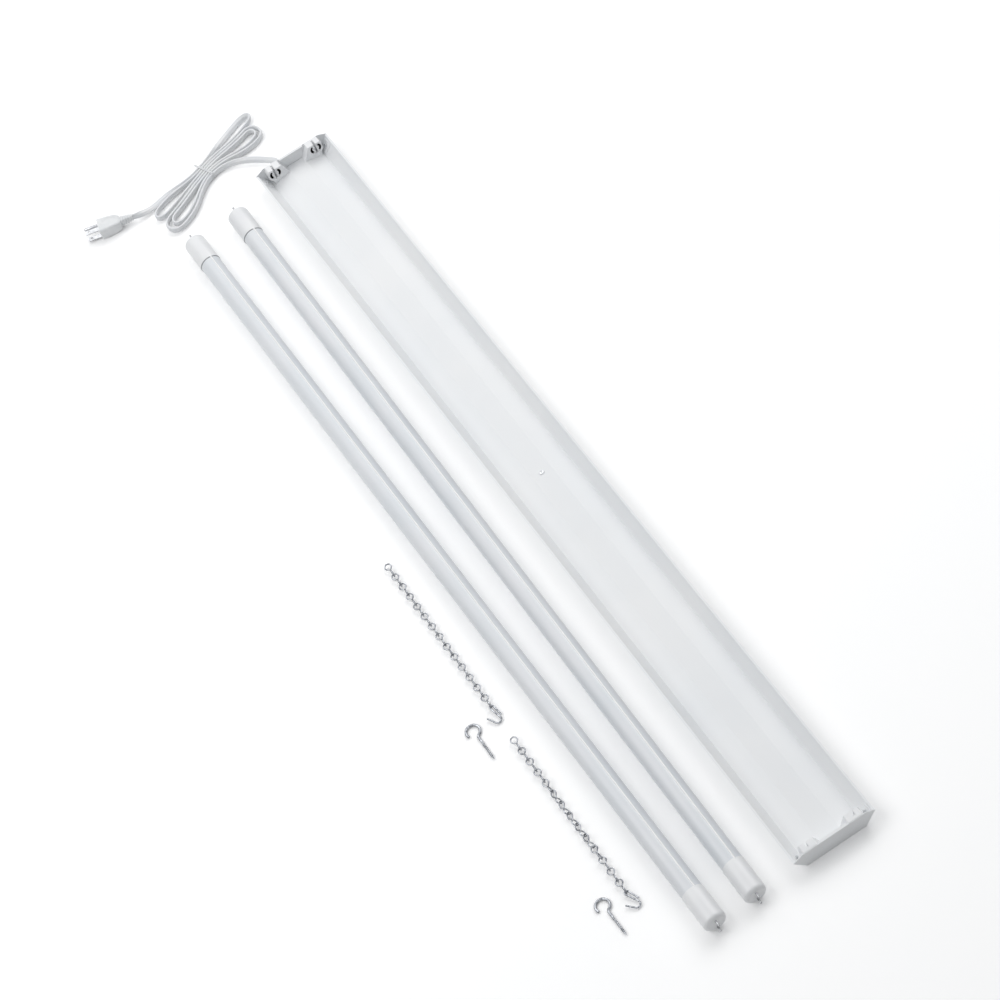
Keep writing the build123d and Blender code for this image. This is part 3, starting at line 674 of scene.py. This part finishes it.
def pan_head(origin, axis, side, turn):
    """A pan head screw on a plane, its cross recess turned by an angle in degrees."""
    head = lathe_mesh("pan_head", HEAD_PROFILE, origin, axis, side, steps=40)
    arm = side * cos(radians(turn)) + axis.cross(side) * sin(radians(turn))
    for long_way in (arm, axis.cross(arm)):
        wide = axis.cross(long_way)
        rings = []
        for height, reach, thick in RECESS_WEDGE:
            middle = origin + axis * (height / 1000)
            rings.append([middle + long_way * (x * reach / 1000) + wide * (y * thick / 1000)
                          for x, y in ((1, 1), (-1, 1), (-1, -1), (1, -1))])
        head = cut_out(head, shaded_mesh("wedge", *join_rings(rings)))
    return head


def joined(name, meshes):
    """Several meshes as one, shaded smoothly apart from sharp edges."""
    points = []
    faces = []
    for mesh in meshes:
        faces += [tuple(corner + len(points) for corner in face.vertices) for face in mesh.polygons]
        points += [vertex.co.copy() for vertex in mesh.vertices]
    return shaded_mesh(name, points, faces)


BACK_HALF, RIM_HALF, RIM_HEIGHT = 38.5, 53.0, 20.5
SCREW_HEIGHT, SCREW_ALONG = 10.5, 603.5
wall_length = sqrt((RIM_HALF - BACK_HALF) ** 2 + RIM_HEIGHT ** 2)
heads = []
for number, (end, side) in enumerate(((-1, -1), (-1, 1), (1, -1), (1, 1))):
    half_width = BACK_HALF + (RIM_HALF - BACK_HALF) * SCREW_HEIGHT / RIM_HEIGHT
    origin = Vector((end * SCREW_ALONG, side * half_width, SCREW_HEIGHT)) / 1000
    outwards = Vector((0, side * RIM_HEIGHT, BACK_HALF - RIM_HALF)) / wall_length
    heads.append(pan_head(origin, outwards, Vector((1, 0, 0)), 20 + 25 * number))
add_piece("wall_screws", joined("wall_screws", heads), screw_zinc, "housing",
          ("plate_screws",))
cover_top = Vector((0, 0, 0.0072))
cover_head = joined("cover_pan_head", [pan_head(cover_top, UP, Vector((1, 0, 0)), 35)])
add_piece("cover_pan_head", cover_head, screw_zinc, "housing", ("cover_screw",))
print("pan head screws: 5")

# %% [markdown]
# ## Lamp caps
# A T8 lamp's caps are cups, turned or moulded, pushed over the body's ends. Their front edge is
# well rounded, so a lathe profile does better than a plain chamfer. Where a far cap ends, a grey
# ring is painted shade for the step to the body, and shows as a fine dark line. At the near caps
# no such line shows. A polished lip runs along the top of each diffuser and catches the light;
# its near-white colour, whiter than the diffuser, is painted highlight.

# %% Caps and pins
LAMP_PLACES = {1: (17.6, -160.3, 0.41), 2: (16.6, -101.8, -0.18)}
LAMP_HEIGHT = 14.0
HALF_LAMP = 599.7
HALF_PIN_SPACING = 0.00635
LIP_TURN = radians(18)
LIP_OUT, LIP_HALF, LIP_RADIUS = 0.0133, 0.555, 0.0012
CAP_ROUNDING = 4.8
CAP_PROFILE = [(0.01, 5.4), (13.5, 5.4), (13.5, 45.8), (13.75, 46.0), (13.95, 45.8),
               (14.0, 45.4), (14.0, 6.0)]
for angle in range(0, 91, 10):
    CAP_PROFILE.append((14.0 - CAP_ROUNDING * (1 - cos(radians(angle))),
                        CAP_ROUNDING * (1 - sin(radians(angle)))))
CAP_PROFILE += [(7.5, 0.0), (0.01, 0.0)]
JOINT_SHADE_PROFILE = ((13.38, 45.6), (13.38, 47.2), (13.55, 47.1), (13.75, 46.6), (13.8, 46.05), (13.7, 45.6))
PIN_PROFILE = ((1.2, 0.3), (1.2, -6.2), (1.05, -6.8), (0.6, -7.1))
# painted shade: a grey ring at each far cap's joint stands for the shade in the step to the body
joint_shade_grey, tree, shader, place = new_material("painted_joint_shade", "85878A", 0.6)
add_grain(tree, shader, place, 0.7, 0.02)
add_mottle(tree, shader, place, 4, "7A7C7F", "909295")
# painted highlight: the lip's near-white colour, whiter than the diffuser, brightens its line; its low
# roughness catches real highlights
lip_highlight_white, tree, shader, place = new_material("polished_lip_painted_highlight", "FAFAFB", 0.2, ior=1.58)
add_grain(tree, shader, place, 0.8, 0.005)
add_mottle(tree, shader, place, 30, "F8F8F9", "FBFBFC")
pin_nickel, tree, shader, place = new_material("dull_nickel", "A2A3A5", 0.3, metallic=1.0)
add_grain(tree, shader, place, 0.8, 0.01)
add_mottle(tree, shader, place, 2, "88898B", "B4B5B7")

for lamp, (x, y, yaw) in LAMP_PLACES.items():
    middle = Vector((x, y, LAMP_HEIGHT)) / 1000
    axis = Vector((cos(radians(yaw)), sin(radians(yaw)), 0))
    level = UP.cross(axis)
    pin_meshes = []
    for end, end_name in ((-1, "far"), (1, "near")):
        origin = middle + axis * (end * HALF_LAMP / 1000)
        cap = f"lamp_{lamp}_cap_{end_name}"
        add_piece(cap + "_cup", lathe_mesh(cap, CAP_PROFILE, origin, axis * -end, level),
                  cap_plastic, f"lamp_{lamp}", (cap,))
        # the painted shade of the joint goes on the far caps only
        if end < 0:
            joint_shade = lathe_mesh(cap + "_joint_shade", JOINT_SHADE_PROFILE, origin, axis, level, closed=True)
            add_piece(cap + "_joint_shade", joint_shade, joint_shade_grey, f"lamp_{lamp}")
        for side in (-1, 1):
            foot = origin + UP * (side * HALF_PIN_SPACING)
            pin_meshes.append(lathe_mesh("pin", PIN_PROFILE, foot, axis * -end, level, steps=20))
    lip_place = middle + (level * sin(LIP_TURN) + UP * cos(LIP_TURN)) * LIP_OUT
    lip_line = [lip_place + axis * reach for reach in (-LIP_HALF, 0.0, LIP_HALF)]
    add_piece(f"lamp_{lamp}_lip", wire_curve(f"lamp_{lamp}_lip", [lip_line], LIP_RADIUS),
              lip_highlight_white, f"lamp_{lamp}")
    add_piece(f"lamp_{lamp}_pin_pairs", joined(f"lamp_{lamp}_pin_pairs", pin_meshes), pin_nickel,
              f"lamp_{lamp}", (f"lamp_{lamp}_pins",))
print("caps, seals and pins of", len(LAMP_PLACES), "lamps")

# %% [markdown]
# ## Finishes of the measured parts
# The other parts already have their shape. Each one only needs the finish of what it is made
# of, so a table of names is enough.

# %% Finishes of the measured parts
finishes = {
    "housing_shell": powder_coat,
    "wireway_cover": powder_coat,
    "cover_post": screw_zinc,
    "end_plate_far": powder_coat,
    "end_plate_near": powder_coat,
    "cord_bushing": cord_plastic,
    "plug_blades": nickel,
}
for end in ("far", "near"):
    for side in ("left", "right"):
        finishes[f"lampholder_{end}_{side}"] = holder_plastic
        finishes[f"rotor_{end}_{side}"] = rotor_plastic
for lamp in (1, 2):
    finishes[f"lamp_{lamp}_diffuser"] = diffuser_plastic
    finishes[f"lamp_{lamp}_heat_sink"] = lamp_paint
    finishes[f"lamp_{lamp}_board"] = board_mask
for name, finish in finishes.items():
    part = nodes[name]
    if not part.material_slots:
        part.data.materials.append(finish)
    for material_slot in part.material_slots:
        material_slot.material = finish
print("finished parts:", len(finishes))

# %% [markdown]
# ## Jack chain
# A jack chain's link is one piece of wire, bent into a figure of eight and then twisted a
# quarter turn at its waist, so that one ring lies flat and the other stands up. The ends of the
# wire stop just short of the waist. Round wire is a line with a round bevel, and one line per
# link, laid along the chain, repeats what the bending machine does.

# %% Chain links
WIRE = 0.0009
RING = 0.0040
WAIST = RING * sqrt(2)
LINK_PLAY = 0.00036
LINK_PITCH = 2 * (WAIST + RING - WIRE) - LINK_PLAY
CHAIN_HEIGHT = RING + WIRE + 0.00005
WIRE_END_GAP = 0.0003


def link_line():
    """Points of one link from wire end to wire end, round both rings."""
    near_waist = (WIRE_END_GAP + WIRE) / sqrt(2)
    points = [(-near_waist, -near_waist, 0)]
    for step in range(17):
        angle = radians(-45 - 270 * step / 16)
        points.append((RING * cos(angle) - WAIST, RING * sin(angle), 0))
    points += [(-0.0005, 0.0005, 0), (0.0005, 0, 0.0005)]
    for step in range(17):
        angle = radians(135 - 270 * step / 16)
        points.append((RING * cos(angle) + WAIST, 0, RING * sin(angle)))
    points.append((near_waist, 0, -near_waist))
    return [Vector(point) for point in points]


chain_starts = {"a": (-0.0077, -0.2105), "b": (0.2832, -0.2123)}
chain_rolls = {
    "a": (0, 0, 0, 0, 0, 0, 0, 0, 0, 0, 0, 0, 0, 0),
    "b": (0, 0, 0, 0, 22, 44, 44, 44, 44, 44, 22, 0, 0, 0),
}
for chain, (start_x, start_y) in chain_starts.items():
    link = 0
    for segment, count in enumerate((3, 3, 3, 3, 2), start=1):
        lines = []
        for _ in range(count):
            roll = Matrix.Rotation(radians(chain_rolls[chain][link]), 3, "X")
            waist = Vector((start_x + WAIST + link * LINK_PITCH, start_y, CHAIN_HEIGHT))
            lines.append([waist + roll @ point for point in link_line()])
            link = link + 1
        name = f"chain_{chain}_links_{segment}"
        add_piece(name + "_wire", wire_curve(name, lines, WIRE), zinc, name, (name,))
print("links per chain:", link)

# %% [markdown]
# ## Wire hooks
# The small hooks are bent from slightly thicker wire on the same machine: a narrow eye that
# closes on the chain's last ring, a long leg and an open bend. Their line is straight runs and
# arcs in one plane, which leans a little, because the eye stands on the ring's wire.

# %% Wire hooks
HOOK_WIRE = 0.0011
HOOK_HEIGHT = 0.0039
EYE_RADIUS, LEG_LENGTH, BEND_RADIUS, FREE_LENGTH = 2.3, 15.8, 4.3, 11.0


def arc(middle, radius, start, end, steps):
    """Points of an arc in degrees, with both of its ends."""
    turns = [radians(start + (end - start) * step / steps) for step in range(steps + 1)]
    return [Vector((middle[0] + radius * cos(turn), middle[1] + radius * sin(turn), 0))
            for turn in turns]


def heading(degrees):
    """A unit vector in the plane of a hook, at an angle in degrees."""
    return Vector((cos(radians(degrees)), sin(radians(degrees)), 0))


def hook_line():
    """Points of a wire hook in its own plane, in millimetres."""
    eye = arc((0, 0), EYE_RADIUS, 98, 284, 16)
    short_leg = [eye[0] + heading(8) * reach for reach in (14.5, 5.0)]
    ahead = heading(14)
    leg_end = eye[-1] + ahead * LEG_LENGTH
    middle = leg_end + Vector((ahead.y, -ahead.x, 0)) * BEND_RADIUS
    bend = arc(middle, BEND_RADIUS, 104, -62, 16)
    free = bend[-1] + heading(-152) * FREE_LENGTH
    return short_leg + eye + bend + [free]


last_ring = 13 * LINK_PITCH + 2 * WAIST
eye_reach = WIRE + HOOK_WIRE + 2 * LINK_PLAY - EYE_RADIUS / 1000
for chain, turn in (("a", 0.0), ("b", 14.0)):
    start_x, start_y = chain_starts[chain]
    origin = Vector((start_x + last_ring + RING - eye_reach, start_y, HOOK_HEIGHT))
    lie = Matrix.Rotation(radians(turn), 3, "Z") @ Matrix.Rotation(radians(5.0), 3, "Y")
    points = [origin + lie @ (point / 1000) for point in hook_line()]
    name = f"chain_{chain}_hook"
    add_piece(name + "_wire", wire_curve(name, [points], HOOK_WIRE), zinc, name,
              (name,))
    print(name, "from", [round(c, 4) for c in points[0]], "to", [round(c, 4) for c in points[-1]])

# %% [markdown]
# ## Ceiling screw hooks
# The ceiling hooks are bent from 3.2 mm wire, and their shanks have a coarse wood thread, rolled
# between dies before the ring is bent. The ring is a round wire again. The thread is rings of
# points whose radius rises at one place, which moves round as the rings go along.

# %% Screw hooks
SCREW_WIRE = 1.6
THREAD_PITCH = 2.4
SHANK_LENGTH = 30.0
POINT_LENGTH = 5.0
THREAD_START, THREAD_RUN_IN = 7.0, 1.5
CORE_RADIUS, THREAD_HEIGHT = 1.12, 0.6
SHANK_STEPS = 175
RING_RADIUS, NECK_RADIUS, NECK_TURN = 8.2, 4.0, radians(25)


def threaded_shank(start, ahead, side):
    """Rings of the shank: plain at the neck, then threaded, and tapered at its point."""
    other = ahead.cross(side)
    rings = []
    for step in range(SHANK_STEPS + 1):
        at = (SHANK_LENGTH + POINT_LENGTH) * step / SHANK_STEPS
        taper = min(1.0, (SHANK_LENGTH + POINT_LENGTH - at) / POINT_LENGTH)
        cut = min(1.0, max(0.0, (at - THREAD_START) / THREAD_RUN_IN))
        ring = []
        for corner in range(24):
            phase = (at / THREAD_PITCH - corner / 24) % 1
            crest = max(0.0, 1 - abs(phase - 0.5) * 3.6)
            radius = SCREW_WIRE * (1 - cut) + cut * (CORE_RADIUS + THREAD_HEIGHT * crest)
            radius = max(0.05, radius * (0.12 + 0.88 * taper))
            turn = 2 * pi * corner / 24
            ring.append(start + (ahead * at + (side * cos(turn) + other * sin(turn)) * radius) / 1000)
        rings.append(ring)
    return rings


for number, (x, y, turn) in {1: (242.0, -243.2, 0.0), 2: (516.6, -241.2, 1.5)}.items():
    lie = Matrix.Rotation(radians(turn), 3, "Z")
    origin = Vector((x, y, SCREW_WIRE + 0.05))
    neck_reach = RING_RADIUS + NECK_RADIUS
    neck_middle = (neck_reach * cos(NECK_TURN), neck_reach * sin(NECK_TURN))
    flat = arc((0, 0), RING_RADIUS, -64, -335, 36) + arc(neck_middle, NECK_RADIUS, 205, 270, 10)[1:]
    ring_points = [(origin + lie @ point) / 1000 for point in flat]
    name = f"screw_hook_{number}"
    ahead = lie @ Vector((1, 0, 0))
    ring_points.append(ring_points[-1] + ahead * 0.0008)
    add_piece(name + "_ring", wire_curve(name, [ring_points], SCREW_WIRE / 1000, 5),
              zinc, name, (name,))
    rings = threaded_shank(ring_points[-2], ahead, UP)
    add_piece(name + "_shank", shaded_mesh(name + "_shank", *join_rings(rings), crease=50),
              zinc, name)
print("screw hooks: 2")

# %% [markdown]
# ## Floor
# The photograph has a white sweep: shadows are short and close to the parts. The floor is white
# paper. Seen by the camera it is a little brighter than paper can be, so that it reaches plain
# white while its shadows keep their depth, and to the parts' own light it stays paper.

# %% Floor
FLOOR_GAIN = 1.15
FLOOR_GLOW = 0.075
FLOOR_HALF, FLOOR_DROP = 40, 0.0002
floor_paper, tree, shader, place = new_material("white_paper", "F4F4F4", 0.9)
add_grain(tree, shader, place, 3.0, 0.01)
output = tree.nodes["Material Output"]


def seen_directly(tree):
    """One for rays from the camera, also by way of a mirror or a clear piece, else zero."""
    path = add_node(tree, "ShaderNodeLightPath")
    first = add_node(tree, "ShaderNodeMath", {"operation": "MAXIMUM"},
                     {0: path.outputs["Is Camera Ray"], 1: path.outputs["Is Glossy Ray"]})
    both = add_node(tree, "ShaderNodeMath", {"operation": "MAXIMUM"},
                    {0: first.outputs[0], 1: path.outputs["Is Transmission Ray"]})
    return both.outputs[0]


seen = seen_directly(tree)
paper_colour = add_node(tree, "ShaderNodeMix", {"data_type": "RGBA"},
                        {0: seen, 6: linear("F4F4F4"), 7: (FLOOR_GAIN, FLOOR_GAIN, FLOOR_GAIN, 1)})
tree.links.new(paper_colour.outputs[2], shader.inputs["Base Color"])
lit = add_node(tree, "ShaderNodeMath", {"operation": "MULTIPLY"}, {0: seen, 1: FLOOR_GLOW})
glow = add_node(tree, "ShaderNodeEmission", inputs={"Strength": lit.outputs[0]},
                Color=(1, 1, 1, 1))
total = add_node(tree, "ShaderNodeAddShader", inputs={0: shader.outputs[0], 1: glow.outputs[0]})
tree.links.new(total.outputs[0], output.inputs["Surface"])
paper = bpy.data.meshes.new("floor")
corners = [(x * FLOOR_HALF, y * FLOOR_HALF, 0) for x, y in ((-1, -1), (1, -1), (1, 1), (-1, 1))]
paper.from_pydata(corners, [], [(0, 1, 2, 3)])
paper.materials.append(floor_paper)
floor = bpy.data.objects.new("floor", paper)
floor.location.z = -FLOOR_DROP
bpy.context.collection.objects.link(floor)
print("floor is", floor.dimensions.x, "m wide")

# %% [markdown]
# ## Light
# Three soft boxes light the fixture from both sides and from beyond its far end, and none from
# the camera's end, so that the faces which look at the camera lie in shade: the near end plate
# and the lampholders' faces. The room gives the rest.

# %% Light
ROOM_FILL = 0.32
world = bpy.data.worlds.new("white_room")
bpy.context.scene.world = world
world.use_nodes = True
tree = world.node_tree
background = tree.nodes["Background"]
background.inputs["Color"].default_value = (0.97, 0.985, 1, 1)
strength = add_node(tree, "ShaderNodeMapRange", inputs={"Value": seen_directly(tree)},
                    To_Min=ROOM_FILL, To_Max=1.0)
tree.links.new(strength.outputs[0], background.inputs["Strength"])
for name, place_above, size, power in (
    ("soft_box_left", (-0.4, -1.8, 2.4), 2.0, 27.5),
    ("soft_box_right", (-2.0, 2.4, 3.2), 3.0, 68.0),
    ("soft_box_far", (-2.8, -0.4, 3.1), 3.1, 32.5),
):
    light = bpy.data.lights.new(name, "AREA")
    light.size = size
    light.energy = power
    lamp = bpy.data.objects.new(name, light)
    bpy.context.collection.objects.link(lamp)
    lamp.location = place_above
    lamp.rotation_euler = (-Vector(place_above)).to_track_quat("-Z", "Y").to_euler()
print("soft boxes: 3")
bpy.context.scene.view_settings.view_transform = "Standard"
